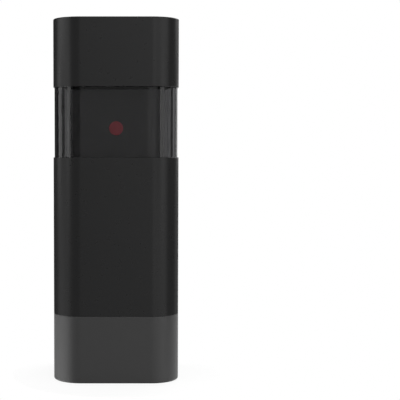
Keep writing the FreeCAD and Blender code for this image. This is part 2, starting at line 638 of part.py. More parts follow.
def terminal_block():
    """Screw terminal block with its wire entries facing down and its screws facing the front."""
    profile = [
        (BOARD_FRONT, TERMINAL_BOTTOM, 0.0),
        (BOARD_FRONT, TERMINAL_TOP, 0.0),
        (TERMINAL_FRONT + TERMINAL_BEVEL, TERMINAL_TOP, 0.0),
        (TERMINAL_FRONT, TERMINAL_TOP - TERMINAL_BEVEL, 0.0),
        (TERMINAL_FRONT, TERMINAL_BOTTOM + TERMINAL_BEVEL, 0.0),
        (TERMINAL_FRONT + TERMINAL_BEVEL, TERMINAL_BOTTOM, 0.0),
    ]
    body = prism(profile, "x", -TERMINAL_HALF, TERMINAL_HALF)
    cuts = []
    for x in terminal_ways():
        half = TERMINAL_ENTRY_WIDTH / 2
        entry_top = TERMINAL_BOTTOM + TERMINAL_ENTRY_DEPTH
        cuts.append(block(x - half, x + half, ENTRY_FRONT, ENTRY_BACK, TERMINAL_BOTTOM, entry_top))
        cuts.append(rod(TERMINAL_WELL_RADIUS, "y", TERMINAL_FRONT, ENTRY_FRONT, x, TERMINAL_MIDDLE))
    legs = [leg(TERMINAL_LEG_SIZE, BOARD_FRONT, x, z) for x, z in terminal_legs()]
    return joined(body.cut(cuts), *legs)


def terminal_clamps():
    """Brass wire cages, one in each entry of the terminal block."""
    cages = []
    for x in terminal_ways():
        half = TERMINAL_ENTRY_WIDTH / 2 - CLAMP_CLEARANCE
        front = ENTRY_FRONT + CLAMP_CLEARANCE
        back = ENTRY_BACK - CLAMP_CLEARANCE
        bottom = TERMINAL_BOTTOM + CLAMP_SETBACK
        top = bottom + CLAMP_LENGTH
        cage = block(x - half, x + half, front, back, bottom, top)
        bore_half = half - CLAMP_WALL
        bore_front = front + CLAMP_WALL
        bore_back = back - CLAMP_WALL
        cages.append(cage.cut(block(x - bore_half, x + bore_half, bore_front, bore_back, bottom, top)))
    return Part.makeCompound(cages)


def terminal_screws():
    """Slotted screws in the wells, which press on the cages."""
    screws = []
    for x in terminal_ways():
        head = TERMINAL_FRONT + TERMINAL_SCREW_SINK
        radius = TERMINAL_WELL_RADIUS - CLAMP_CLEARANCE
        screw = rod(radius, "y", head, ENTRY_FRONT + CLAMP_CLEARANCE, x, TERMINAL_MIDDLE)
        half_slot = TERMINAL_SCREW_SLOT / 2
        slot_top = TERMINAL_MIDDLE + radius
        slot_bottom = TERMINAL_MIDDLE - radius
        slot_floor = head + TERMINAL_SCREW_SLOT
        screws.append(screw.cut(block(x - half_slot, x + half_slot, head, slot_floor, slot_bottom, slot_top)))
    return Part.makeCompound(screws)


def relay_legs():
    """X and Z of the five legs of the relay: two coil legs below, and three contact legs above."""
    left = RELAY_LEFT + RELAY_LEG_INSET
    right = RELAY_RIGHT - RELAY_LEG_INSET
    middle = (left + right) / 2
    lower = RELAY_BOTTOM + RELAY_LEG_INSET
    upper = PARTS_TOP - RELAY_LEG_INSET
    return [(left, lower), (right, lower), (left, upper), (middle, upper), (right, upper)]


def relay():
    """Sealed relay that switches the output contact."""
    face = BOARD_FRONT - RELAY_HEIGHT
    case = block(RELAY_LEFT, RELAY_RIGHT, face, BOARD_FRONT, RELAY_BOTTOM, PARTS_TOP)
    edges = [e for e in case.Edges if all(abs(v.Y - face) < TINY for v in e.Vertexes)]
    case = case.makeChamfer(RELAY_BEVEL, edges)
    legs = [leg(RELAY_LEG_SIZE, BOARD_FRONT, x, z) for x, z in relay_legs()]
    return joined(case, *legs)


def capacitor_legs():
    """X and Z of the two legs of the filter capacitor."""
    return [(CAPACITOR_X + side * CAPACITOR_LEG_PITCH / 2, CAPACITOR_Z) for side in (-1, 1)]


def filter_capacitor():
    """Round electrolytic capacitor standing on the board."""
    tip = BOARD_FRONT - CAPACITOR_LENGTH
    profile = [
        (0.0, BOARD_FRONT),
        (CAPACITOR_RADIUS, BOARD_FRONT),
        (CAPACITOR_RADIUS, tip + CAPACITOR_BEVEL),
        (CAPACITOR_RADIUS - CAPACITOR_BEVEL, tip),
        (0.0, tip),
    ]
    can = turned(profile, CAPACITOR_X, CAPACITOR_Z)
    legs = [leg(CAPACITOR_LEG_SIZE, BOARD_FRONT, x, z) for x, z in capacitor_legs()]
    return joined(can, *legs)


def rectifier_legs():
    """X and Z of the four legs of the rectifier."""
    half_x = RECTIFIER_LEG_PITCH / 2
    half_z = (RECTIFIER_LENGTH - RECTIFIER_LEG_SIZE) / 2
    return [(CAPACITOR_X + sx * half_x, RECTIFIER_Z + sz * half_z) for sx in (-1, 1) for sz in (-1, 1)]


def bridge_rectifier():
    """Four-legged bridge rectifier, standing a little off the board."""
    back = BOARD_FRONT - RECTIFIER_STAND_OFF
    half_x = RECTIFIER_WIDTH / 2
    half_z = RECTIFIER_LENGTH / 2
    front = back - RECTIFIER_HEIGHT
    left = CAPACITOR_X - half_x
    right = CAPACITOR_X + half_x
    body = block(left, right, front, back, RECTIFIER_Z - half_z, RECTIFIER_Z + half_z)
    legs = [leg(RECTIFIER_LEG_SIZE, back, x, z) for x, z in rectifier_legs()]
    return joined(body, *legs)


def regulator_legs():
    """X and Z of the three legs of the regulator."""
    return [(MIDDLE_X + i * REGULATOR_LEG_PITCH, REGULATOR_Z) for i in (-1, 0, 1)]


def voltage_regulator():
    """Small three-legged regulator with one flat side, standing on its legs."""
    back = BOARD_FRONT - REGULATOR_STAND_OFF
    front = back - REGULATOR_LENGTH
    body = rod(REGULATOR_RADIUS, "y", front, back, MIDDLE_X, REGULATOR_Z)
    flat = REGULATOR_Z - REGULATOR_FLAT
    left = MIDDLE_X - REGULATOR_RADIUS
    right = MIDDLE_X + REGULATOR_RADIUS
    body = body.cut(block(left, right, front, back, REGULATOR_Z - REGULATOR_RADIUS, flat))
    legs = [leg(REGULATOR_LEG_SIZE, back, x, z) for x, z in regulator_legs()]
    return joined(body, *legs)


def small_chip(x, z):
    """Eight-legged surface chip centred at x, z, with bent legs that stand on the board."""
    back = BOARD_FRONT - CHIP_STAND_OFF
    front = back - CHIP_HEIGHT
    half = CHIP_WIDTH / 2
    body = block(x - half, x + half, front, back, z - CHIP_LENGTH / 2, z + CHIP_LENGTH / 2)
    knee = (front + back) / 2
    legs = []
    for side in (-1, 1):
        inner = x + side * half
        outer = inner + side * CHIP_LEG_REACH
        shin = outer - side * CHIP_FOOT
        thick = side * CHIP_LEG_THICKNESS
        bend = [
            (inner, knee, 0.0),
            (shin, knee, 0.0),
            (shin, BOARD_FRONT - CHIP_LEG_THICKNESS, 0.0),
            (outer, BOARD_FRONT - CHIP_LEG_THICKNESS, 0.0),
            (outer, BOARD_FRONT, 0.0),
            (shin - thick, BOARD_FRONT, 0.0),
            (shin - thick, knee + CHIP_LEG_THICKNESS, 0.0),
            (inner, knee + CHIP_LEG_THICKNESS, 0.0),
        ]
        for i in range(CHIP_LEGS_A_SIDE):
            middle = z + (i - (CHIP_LEGS_A_SIDE - 1) / 2) * CHIP_LEG_PITCH
            legs.append(prism(bend, "z", middle - CHIP_LEG_WIDTH / 2, middle + CHIP_LEG_WIDTH / 2))
    return joined(body, *legs)


def controller_chip():
    """Controller beside the relay."""
    return small_chip(MIDDLE_X, CONTROLLER_Z)


def amplifier_chip():
    """Signal amplifier inside the light shield, beside the snoot."""
    return small_chip(AMPLIFIER_X, LENS_HEIGHT)


def chip_row(count, pitch, x, z):
    """Row of small surface parts across the board, centred at x, z."""
    parts = []
    for i in range(count):
        left = x + (i - (count - 1) / 2) * pitch - PASSIVE_WIDTH / 2
        bottom = z - PASSIVE_LENGTH / 2
        right = left + PASSIVE_WIDTH
        top = bottom + PASSIVE_LENGTH
        parts.append(block(left, right, BOARD_FRONT - PASSIVE_HEIGHT, BOARD_FRONT, bottom, top))
    return Part.makeCompound(parts)


def chip_resistors():
    """Resistors in a row half way between the terminal block and the relay."""
    return chip_row(RESISTOR_COUNT, RESISTOR_PITCH, 0.0, RESISTOR_Z)


def chip_capacitors():
    """Ceramic capacitors in a row above the controller."""
    return chip_row(CERAMIC_COUNT, CERAMIC_PITCH, MIDDLE_X, CERAMIC_Z)


def main_board():
    """Circuit board on the bosses and hooks of the wall plate, cut for its screws, the pegs and every leg."""
    board = block(-BOARD_HALF, BOARD_HALF, BOARD_FRONT, BOARD_BACK, BOARD_BOTTOM, BOARD_TOP)
    drilled = [
        (BOARD_SCREW_RADIUS, board_screw_places()),
        (PEG_RADIUS, peg_places()),
    ]
    slotted = [
        (DIODE_LEG_SIZE, photodiode_legs()),
        (TERMINAL_LEG_SIZE, terminal_legs()),
        (RELAY_LEG_SIZE, relay_legs()),
        (CAPACITOR_LEG_SIZE, capacitor_legs()),
        (RECTIFIER_LEG_SIZE, rectifier_legs()),
        (REGULATOR_LEG_SIZE, regulator_legs()),
    ]
    holes = []
    for radius, places in drilled:
        holes += [rod(radius + BOARD_HOLE_CLEARANCE, "y", BOARD_FRONT, BOARD_BACK, x, z) for x, z in places]
    for size, places in slotted:
        holes += [leg(size + 2 * BOARD_HOLE_CLEARANCE, BOARD_FRONT, x, z) for x, z in places]
    return board.cut(holes)


def board_screws():
    """Two screws through the top corners of the board into the bosses of the wall plate."""
    screws = []
    for x, z in board_screw_places():
        head = rod(BOARD_SCREW_HEAD_RADIUS, "y", BOARD_FRONT - BOARD_SCREW_HEAD_HEIGHT, BOARD_FRONT, x, z)
        shank = rod(BOARD_SCREW_RADIUS, "y", BOARD_FRONT, BOARD_FRONT + BOARD_SCREW_LENGTH, x, z)
        screws.append(joined(head, shank))
    return Part.makeCompound(screws)


PIECES = [
    wall_plate,
    perimeter_seal,
    cable_grommet,
    main_board,
    board_screws,
    terminal_block,
    terminal_clamps,
    terminal_screws,
    relay,
    filter_capacitor,
    bridge_rectifier,
    voltage_regulator,
    controller_chip,
    amplifier_chip,
    chip_resistors,
    chip_capacitors,
    photodiode,
    optics_carrier,
    beam_lens,
    body_shell,
    window_shell,
    top_cap,
    base_cover,
    base_screw,
]

os.makedirs("parts", exist_ok=True)
for piece in PIECES:
    shape = piece()
    faulty = [s for s in shape.Solids if not s.isValid() or s.Volume <= 0]
    if faulty or not shape.Solids:
        raise ValueError(f"{piece.__name__} is not a closed solid")
    shape.exportStep(f"parts/{piece.__name__}.step")
    print(f"{piece.__name__}: {len(shape.Solids)} solids, {shape.Volume:.1f} mm3")
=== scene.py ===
from math import cos, pi, radians, sin, tan

import bmesh
import bpy
import numpy as np
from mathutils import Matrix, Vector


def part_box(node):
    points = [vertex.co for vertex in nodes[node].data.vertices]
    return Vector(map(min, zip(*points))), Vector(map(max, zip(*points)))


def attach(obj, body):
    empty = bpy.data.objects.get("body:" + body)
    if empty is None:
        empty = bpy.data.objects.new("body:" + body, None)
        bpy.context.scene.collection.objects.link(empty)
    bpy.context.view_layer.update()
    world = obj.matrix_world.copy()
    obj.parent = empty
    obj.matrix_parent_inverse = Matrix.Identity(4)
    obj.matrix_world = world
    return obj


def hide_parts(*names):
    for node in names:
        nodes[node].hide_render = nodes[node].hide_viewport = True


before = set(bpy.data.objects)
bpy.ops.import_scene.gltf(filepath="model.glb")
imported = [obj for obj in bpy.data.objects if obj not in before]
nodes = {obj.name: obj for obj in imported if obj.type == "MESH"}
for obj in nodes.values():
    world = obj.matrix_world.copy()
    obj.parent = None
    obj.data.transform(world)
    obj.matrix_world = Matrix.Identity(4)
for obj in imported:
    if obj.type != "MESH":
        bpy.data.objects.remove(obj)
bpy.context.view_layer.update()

# Wall plate
# The back of the sensor: a moulded black tray, screwed to the wall first, that carries everything else.
# The mould leaves its edges slightly rounded and its faces with a fine even grain.
MM = 0.001
PLATE_BLACK = (0.030, 0.030, 0.031)
PLATE_EDGE = 0.18 * MM
EDGE_SEGMENTS = 2
FLAT_ENOUGH = radians(1.0)
SHARP_EDGE = radians(40.0)
WELD = 0.0005 * MM
DRIFT_SCALE = 70.0
DRIFT_DETAIL = 3.0
GLOSS_SCALE = 420.0
GLOSS_DETAIL = 4.0
GRAIN_DETAIL = 1.0


def mould_finish():
    """Group for moulded plastic. Three noises in the piece's own space, from coarse to fine, give the drift
    of its colour, the wander of its gloss and the height of its grain."""
    group = bpy.data.node_groups.new("mould_finish", "ShaderNodeTree")
    for socket in ("Drift", "Gloss", "Spread", "Grain Scale"):
        group.interface.new_socket(socket, in_out="INPUT", socket_type="NodeSocketFloat")
    for side in ("INPUT", "OUTPUT"):
        group.interface.new_socket("Colour", in_out=side, socket_type="NodeSocketColor")
    for socket in ("Roughness", "Grain"):
        group.interface.new_socket(socket, in_out="OUTPUT", socket_type="NodeSocketFloat")
    link = group.links.new
    source = group.nodes.new("NodeGroupInput")
    result = group.nodes.new("NodeGroupOutput")
    place = group.nodes.new("ShaderNodeTexCoord")

    def noise(detail):
        """Noise of that detail in the piece's own space."""
        node = group.nodes.new("ShaderNodeTexNoise")
        node.inputs["Detail"].default_value = detail
        link(place.outputs["Object"], node.inputs["Vector"])
        return node

    drift_noise = noise(DRIFT_DETAIL)
    drift_noise.inputs["Scale"].default_value = DRIFT_SCALE
    drift = group.nodes.new("ShaderNodeMath")
    drift.operation = "MULTIPLY_ADD"
    drift.inputs[2].default_value = 1.0
    link(drift_noise.outputs["Fac"], drift.inputs[0])
    link(source.outputs["Drift"], drift.inputs[1])
    tint = group.nodes.new("ShaderNodeVectorMath")
    tint.operation = "SCALE"
    link(source.outputs["Colour"], tint.inputs[0])
    link(drift.outputs[0], tint.inputs["Scale"])
    link(tint.outputs[0], result.inputs["Colour"])

    gloss_noise = noise(GLOSS_DETAIL)
    gloss_noise.inputs["Scale"].default_value = GLOSS_SCALE
    gloss = group.nodes.new("ShaderNodeMath")
    gloss.operation = "MULTIPLY_ADD"
    link(gloss_noise.outputs["Fac"], gloss.inputs[0])
    link(source.outputs["Spread"], gloss.inputs[1])
    link(source.outputs["Gloss"], gloss.inputs[2])
    link(gloss.outputs[0], result.inputs["Roughness"])

    grain_noise = noise(GRAIN_DETAIL)
    link(source.outputs["Grain Scale"], grain_noise.inputs["Scale"])
    link(grain_noise.outputs["Fac"], result.inputs["Grain"])
    return group


MOULD_FINISH = mould_finish()


def moulded(name, colour, gloss, spread=0.1, drift=0.12, grain=3200.0, depth=0.012 * MM, level=0.5):
    """Plastic from a mould: gloss is its lowest roughness and spread what the finish adds to it, drift the
    share its colour changes by, grain and depth the scale and height of its grain, level its shine."""
    material = bpy.data.materials.new(name)
    material.use_nodes = True
    tree = material.node_tree
    shader = tree.nodes["Principled BSDF"]
    shader.inputs["Specular IOR Level"].default_value = level
    finish = tree.nodes.new("ShaderNodeGroup")
    finish.node_tree = MOULD_FINISH
    finish.inputs["Colour"].default_value = (*colour, 1.0)
    finish.inputs["Drift"].default_value = drift
    finish.inputs["Gloss"].default_value = gloss
    finish.inputs["Spread"].default_value = spread
    finish.inputs["Grain Scale"].default_value = grain
    bump = tree.nodes.new("ShaderNodeBump")
    bump.inputs["Strength"].default_value = 1.0
    bump.inputs["Distance"].default_value = depth
    tree.links.new(finish.outputs["Colour"], shader.inputs["Base Color"])
    tree.links.new(finish.outputs["Roughness"], shader.inputs["Roughness"])
    tree.links.new(finish.outputs["Grain"], bump.inputs["Height"])
    tree.links.new(bump.outputs["Normal"], shader.inputs["Normal"])
    return material


def finished(name, mesh, material, node, edge=0.0):
    """Object of a mesh that stands for a node of the frame, its sharp edges rounded by the size given.
    It is shaded smooth, with each normal weighted by the area of its faces, so that flat faces stay flat."""
    mesh.shade_smooth()
    mesh.set_sharp_from_angle(angle=SHARP_EDGE)
    mesh.materials.append(material)
    piece = bpy.data.objects.new(name, mesh)
    bpy.context.scene.collection.objects.link(piece)
    if edge > 0.0:
        rounding = piece.modifiers.new("rounded_edges", "BEVEL")
        rounding.width = edge
        rounding.segments = EDGE_SEGMENTS
        rounding.angle_limit = SHARP_EDGE
    flatness = piece.modifiers.new("flat_faces", "WEIGHTED_NORMAL")
    flatness.keep_sharp = True
    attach(piece, "root")
    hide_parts(node)


def softened(name, node, edge, material):
    """Copy of a node, its triangles joined to whole faces and every sharp edge rounded by the size given."""
    work = bmesh.new()
    work.from_mesh(nodes[node].data)
    bmesh.ops.remove_doubles(work, verts=work.verts, dist=WELD)
    bmesh.ops.dissolve_limit(work, angle_limit=FLAT_ENOUGH, verts=work.verts, edges=work.edges)
    work.verts.index_update()
    mesh = bpy.data.meshes.new(name)
    corners = [vertex.co[:] for vertex in work.verts]
    mesh.from_pydata(corners, [], [[vertex.index for vertex in face.verts] for face in work.faces])
    work.free()
    finished(name, mesh, material, node, edge)


plate_plastic = moulded("plate_plastic", PLATE_BLACK, gloss=0.42)
softened("plate", "wall_plate", PLATE_EDGE, plate_plastic)

# Seal and cable grommet
# The seal is a moulded rubber ring in the groove round the plate, and every cover closes against it.
# The grommet is a round rubber moulding, pressed into the cable hole until its two lips hold the plate.
RUBBER_BLACK = (0.020, 0.020, 0.020)
GROMMET_BORE = 3.0 * MM
GROMMET_NECK = 5.0 * MM
GROMMET_LIP = 6.6 * MM
GROMMET_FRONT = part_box("cable_grommet")[0].y
GROMMET_PLATE_FRONT = 13.2 * MM
GROMMET_PLATE_BACK = 15.2 * MM
GROMMET_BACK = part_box("cable_grommet")[1].y
GROMMET_HEIGHT = 28.2 * MM
GROMMET_EDGE = 0.3 * MM
GROMMET_STEPS = 72
CORNER_STEPS = 5


def dress(node, material):
    """Gives a node of the frame its material."""
    nodes[node].data.materials.clear()
    nodes[node].data.materials.append(material)


def eased(corners):
    """Closed outline through corners given as two places and a radius, each rounded by its radius.
    A corner becomes a quadratic curve that leaves one side at the radius, aims at the corner and joins the
    next side at the radius."""
    corners = np.asarray(corners, float)
    points = corners[:, :2]
    radii = corners[:, 2:]
    to_last = np.roll(points, 1, axis=0) - points
    to_next = np.roll(points, -1, axis=0) - points
    start = points + to_last / np.linalg.norm(to_last, axis=1, keepdims=True) * radii
    end = points + to_next / np.linalg.norm(to_next, axis=1, keepdims=True) * radii
    t = np.linspace(0.0, 1.0, CORNER_STEPS)[None, :, None]
    curve = (1 - t) ** 2 * start[:, None] + 2 * t * (1 - t) * points[:, None] + t**2 * end[:, None]
    return curve.reshape(-1, 2)


def looped(outline):
    """Outline with its first point repeated at its end."""
    return np.vstack([outline, outline[:1]])


def turned(outline, steps):
    """Grids of an outline of radius and place along an axis, turned about that axis, with a row for each
    angle and the first row repeated: the radius times the cosine of the angle, the place along the axis,
    and the radius times the sine of the angle."""
    angle = np.linspace(0.0, 2 * pi, steps + 1)[:, None]
    radius = outline[None, :, 0]
    along = np.broadcast_to(outline[None, :, 1], (steps + 1, len(outline)))
    return radius * np.cos(angle), along, radius * np.sin(angle)


def welded(name, grids, loops=()):
    """Mesh of grids of points and of closed loops, joined where their points meet, its faces outwards."""
    points = []
    faces = []
    count = 0
    for grid in grids:
        rows, columns = grid.shape[:2]
        index = count + np.arange(rows * columns).reshape(rows, columns)
        quads = np.stack([index[:-1, :-1], index[1:, :-1], index[1:, 1:], index[:-1, 1:]], axis=-1)
        points.append(grid.reshape(-1, 3))
        faces += quads.reshape(-1, 4).tolist()
        count += rows * columns
    for loop in loops:
        points.append(loop)
        faces.append(list(range(count, count + len(loop))))
        count += len(loop)
    mesh = bpy.data.meshes.new(name)
    mesh.from_pydata(np.concatenate(points).tolist(), [], faces)
    work = bmesh.new()
    work.from_mesh(mesh)
    bmesh.ops.remove_doubles(work, verts=work.verts, dist=WELD)
    bmesh.ops.recalc_face_normals(work, faces=work.faces)
    work.to_mesh(mesh)
    work.free()
    return mesh


rubber = moulded("rubber", RUBBER_BLACK, gloss=0.6, spread=0.2, grain=1800.0, depth=0.02 * MM)
dress("perimeter_seal", rubber)
grommet_outline = eased(
    [
        (GROMMET_BORE, GROMMET_FRONT, GROMMET_EDGE),
        (GROMMET_LIP, GROMMET_FRONT, GROMMET_EDGE),
        (GROMMET_LIP, GROMMET_PLATE_FRONT, GROMMET_EDGE),
        (GROMMET_NECK, GROMMET_PLATE_FRONT, GROMMET_EDGE),
        (GROMMET_NECK, GROMMET_PLATE_BACK, GROMMET_EDGE),
        (GROMMET_LIP, GROMMET_PLATE_BACK, GROMMET_EDGE),
        (GROMMET_LIP, GROMMET_BACK, GROMMET_EDGE),
        (GROMMET_BORE, GROMMET_BACK, GROMMET_EDGE),
    ]
)
across, along, up = turned(looped(grommet_outline), GROMMET_STEPS)
grommet_mesh = welded("grommet", [np.stack([across, along, up + GROMMET_HEIGHT], axis=-1)])
finished("grommet", grommet_mesh, rubber, "cable_grommet")

# Circuit board and its screws
# Glass epoxy with black solder mask, hooked under its lower edge and screwed to two bosses of the plate.
# Copper tracks stand up a little under the mask, and the screws are zinc plated.
MASK_BLACK = (0.012, 0.014, 0.013)
TRACK_SCALE = 420.0
TRACK_WANDER = 0.35
TRACK_FLAT = 0.10
TRACK_FOOT = 0.16
TRACK_HEIGHT = 0.035 * MM
ZINC = (0.55, 0.55, 0.56)


def solder_mask(name, colour):
    """Glossy mask over copper. The borders of slightly wandering square cells are the tracks: their height
    is full up to one distance from the border and falls to nothing at another."""
    material = moulded(name, colour, gloss=0.22, spread=0.08, drift=0.3)
    tree = material.node_tree
    shader = tree.nodes["Principled BSDF"]
    place = tree.nodes.new("ShaderNodeTexCoord")
    cells = tree.nodes.new("ShaderNodeTexVoronoi")
    cells.feature = "DISTANCE_TO_EDGE"
    cells.inputs["Scale"].default_value = TRACK_SCALE
    cells.inputs["Randomness"].default_value = TRACK_WANDER
    edges = tree.nodes.new("ShaderNodeMapRange")
    edges.inputs["From Min"].default_value = TRACK_FLAT
    edges.inputs["From Max"].default_value = TRACK_FOOT
    edges.inputs["To Min"].default_value = 1.0
    edges.inputs["To Max"].default_value = 0.0
    bump = tree.nodes.new("ShaderNodeBump")
    bump.inputs["Distance"].default_value = TRACK_HEIGHT
    tree.links.new(place.outputs["Object"], cells.inputs["Vector"])
    tree.links.new(cells.outputs["Distance"], edges.inputs["Value"])
    tree.links.new(edges.outputs["Result"], bump.inputs["Height"])
    tree.links.new(bump.outputs["Normal"], shader.inputs["Normal"])
    return material


def plated(name, colour, gloss):
    """Plated metal: the plating clouds its gloss in patches and its colour drifts a little."""
    material = moulded(name, colour, gloss=gloss, spread=0.22, drift=0.1, grain=900.0, depth=0.008 * MM)
    material.node_tree.nodes["Principled BSDF"].inputs["Metallic"].default_value = 1.0
    return material


steel = plated("zinc_plated_steel", ZINC, gloss=0.24)
dress("main_board", solder_mask("solder_mask", MASK_BLACK))
dress("board_screws", steel)

# Terminal block with its clamps and screws
# A green nylon moulding, soldered to the lower end of the board.
# Each of its ways has a brass cage and a slotted screw of plated steel.
TERMINAL_GREEN = (0.05, 0.22, 0.09)
BRASS = (0.62, 0.46, 0.18)

dress("terminal_block", moulded("terminal_nylon", TERMINAL_GREEN, gloss=0.4, drift=0.2))
dress("terminal_clamps", plated("clamp_brass", BRASS, gloss=0.22))
dress("terminal_screws", steel)

# Parts below the light shield
# Relay, electrolytic capacitor, bridge rectifier and small regulator, all soldered through the board.
# The relay case is moulded, the capacitor has a shrunk sleeve, and the other two are moulded epoxy.
RELAY_BLACK = (0.030, 0.030, 0.035)
SLEEVE_BLUE = (0.020, 0.025, 0.050)
EPOXY_BLACK = (0.025, 0.025, 0.025)

epoxy = moulded("chip_epoxy", EPOXY_BLACK, gloss=0.5, spread=0.2, grain=5200.0)
dress("relay", moulded("relay_case", RELAY_BLACK, gloss=0.36))
dress("filter_capacitor", moulded("shrunk_sleeve", SLEEVE_BLUE, gloss=0.16, grain=600.0))
dress("bridge_rectifier", epoxy)
dress("voltage_regulator", epoxy)

# Surface parts and photodiode
# Two chips and rows of fired chip resistors and capacitors sit on the front of the board.
# The photodiode behind the lens is a dark epoxy that stops daylight and passes infrared.
CERAMIC_TAN = (0.42, 0.30, 0.20)
DIODE_DARK = (0.030, 0.015, 0.020)

ceramic = moulded("fired_ceramic", CERAMIC_TAN, gloss=0.55, drift=0.35, grain=6000.0)
dress("controller_chip", epoxy)
dress("amplifier_chip", epoxy)
dress("chip_resistors", ceramic)
dress("chip_capacitors", ceramic)
dress("photodiode", moulded("diode_epoxy", DIODE_DARK, gloss=0.12, grain=500.0))

# Light shield
# A dark grey moulding that lets no light through, pegged to the board.
# Its flat panel stands close behind the window, hides the board and holds the lens.
SHIELD_GREY = (0.138, 0.138, 0.139)
SHIELD_EDGE = 0.12 * MM

shield_plastic = moulded("shield_plastic", SHIELD_GREY, gloss=0.26, spread=0.06)
softened("light_shield", "optics_carrier", SHIELD_EDGE, shield_plastic)

# Lens
# Moulded red acrylic, pushed into the panel from behind until its flange meets the seat.
# Its shallow dome stands just proud of the panel.
LENS_RED = (0.92, 0.125, 0.165)
LENS_RADIUS = 2.18 * MM
LENS_FLANGE = 2.98 * MM
LENS_FLANGE_DEPTH = 0.9 * MM
LENS_DOME = 0.5 * MM
LENS_HEIGHT = 80.4 * MM
LENS_STEPS = 80
DOME_STEPS = 16
DOME_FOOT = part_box("beam_lens")[0].y + LENS_DOME
LENS_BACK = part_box("beam_lens")[1].y
LENS_SEAT = LENS_BACK - LENS_FLANGE_DEPTH

red_acrylic = moulded(
    "red_acrylic", LENS_RED, gloss=0.18, spread=0.08, drift=0.2, grain=900.0, depth=0.004 * MM
)
dome_radius = LENS_RADIUS * np.linspace(0.0, 1.0, DOME_STEPS)
# The dome is a parabola: its rise falls with the square of the radius.
dome_front = DOME_FOOT - LENS_DOME * (1 - (dome_radius / LENS_RADIUS) ** 2)
lens_sides = np.array(
    [
        (LENS_RADIUS, LENS_SEAT),
        (LENS_FLANGE, LENS_SEAT),
        (LENS_FLANGE, LENS_BACK),
        (0.0, LENS_BACK),
    ]
)
lens_outline = np.vstack([np.stack([dome_radius, dome_front], axis=-1), lens_sides])
across, along, up = turned(lens_outline, LENS_STEPS)
lens_mesh = welded("lens", [np.stack([across, along, up + LENS_HEIGHT], axis=-1)])
finished("lens", lens_mesh, red_acrylic, "beam_lens")

# Body shell
# The black middle cover, moulded with a skirt at both ends that laps the neighbours, in a fine satin grain.
# Its plan is a D: straight sides, round front corners and a flat front with two stiffening ribs behind it.
body_low, body_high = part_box("body_shell")
HALF_WIDTH = body_high.x
FRONT = body_low.y
REAR = body_high.y
BODY_BOTTOM = body_low.z
WINDOW_BOTTOM = body_high.z
CORNER = 9.0 * MM
REAR_ROUND = 0.9 * MM
WALL = 2.4 * MM
SKIRT = 1.1 * MM
LAP = 4.0 * MM
PARTING_EDGE = 0.1 * MM
INNER_EDGE = 0.05 * MM
RIB_MIDDLE = 7.0 * MM
RIB_HALF = 0.6 * MM
RIB_DEPTH = 2.0 * MM
RIB_BOTTOM = 27.2 * MM
RIB_TOP = 65.2 * MM
ROUND_STEPS = 9
SIDE_STEPS = 14
FRONT_STEPS = 16
ARC_STEPS = 40
BODY_BLACK = (0.0138, 0.0138, 0.0140)

rear_arc = REAR - REAR_ROUND * (1 - np.cos(np.linspace(0.0, pi / 2, ROUND_STEPS)))
SIDE_Y = np.concatenate([rear_arc[:-1], np.linspace(REAR - REAR_ROUND, FRONT + CORNER, SIDE_STEPS)])
FRONT_X = np.linspace(CORNER - HALF_WIDTH, HALF_WIDTH - CORNER, FRONT_STEPS)


def covers_path():
    """Points, outward directions and rear rounding along the D-shaped plan, from the left rear edge round
    the front to the right rear edge. The corners are quarter circles about their centres. Near the rear
    edge the rounding is the depth of a circle below its tangent."""
    turn = np.linspace(0.0, pi / 2, ARC_STEPS)[1:-1]
    centre = np.array([CORNER - HALF_WIDTH, FRONT + CORNER])
    mirror = np.array([-1.0, 1.0])
    left = np.stack([np.full_like(SIDE_Y, -HALF_WIDTH), SIDE_Y], axis=-1)
    left_out = np.broadcast_to([-1.0, 0.0], left.shape)
    corner_out = np.stack([-np.cos(turn), -np.sin(turn)], axis=-1)
    corner = centre + CORNER * corner_out
    front = np.stack([FRONT_X, np.full_like(FRONT_X, FRONT)], axis=-1)
    front_out = np.broadcast_to([0.0, -1.0], front.shape)
    half = np.concatenate([left, corner])
    half_out = np.concatenate([left_out, corner_out])
    points = np.concatenate([half, front, half[::-1] * mirror])
    outward = np.concatenate([half_out, front_out, half_out[::-1] * mirror])
    reach = np.clip(points[:, 1] - (REAR - REAR_ROUND), 0.0, REAR_ROUND)
    rounding = REAR_ROUND - np.sqrt(REAR_ROUND**2 - reach**2)
    return points, outward, rounding


def carried(profile):
    """Grid of a profile of inset and height carried along the plan. Each point is the path's point, moved
    in against its outward direction by the inset, or by the rear rounding where that is more."""
    points, outward, rounding = covers_path()
    inset = np.maximum(profile[None, :, 0], rounding[:, None])
    flat = points[:, None, :] - outward[:, None, :] * inset[:, :, None]
    height = np.broadcast_to(profile[None, :, 1], inset.shape)
    return np.concatenate([flat, height[:, :, None]], axis=-1)


def rectangle(left, right, low, high):
    """Closed loop through the four corners of a rectangle, with its first corner repeated at its end."""
    return looped(np.array([(left, low), (right, low), (right, high), (left, high)]))


def rib(middle):
    """Sides of an upright rib: its rectangle in plan, rooted half way into the front wall, at both ends."""
    plan = rectangle(middle - RIB_HALF, middle + RIB_HALF, FRONT + WALL / 2, FRONT + WALL + RIB_DEPTH)
    return np.stack([np.insert(plan, 2, height, axis=1) for height in (RIB_BOTTOM, RIB_TOP)])


def closed_cover(name, corners, ribs=()):
    """Mesh of a cover whose wall is one closed profile, and of the ribs inside it, all their ends closed."""
    grids = [carried(looped(eased(corners))), *ribs]
    return welded(name, grids, [grid[end, :-1] for grid in grids for end in (0, -1)])


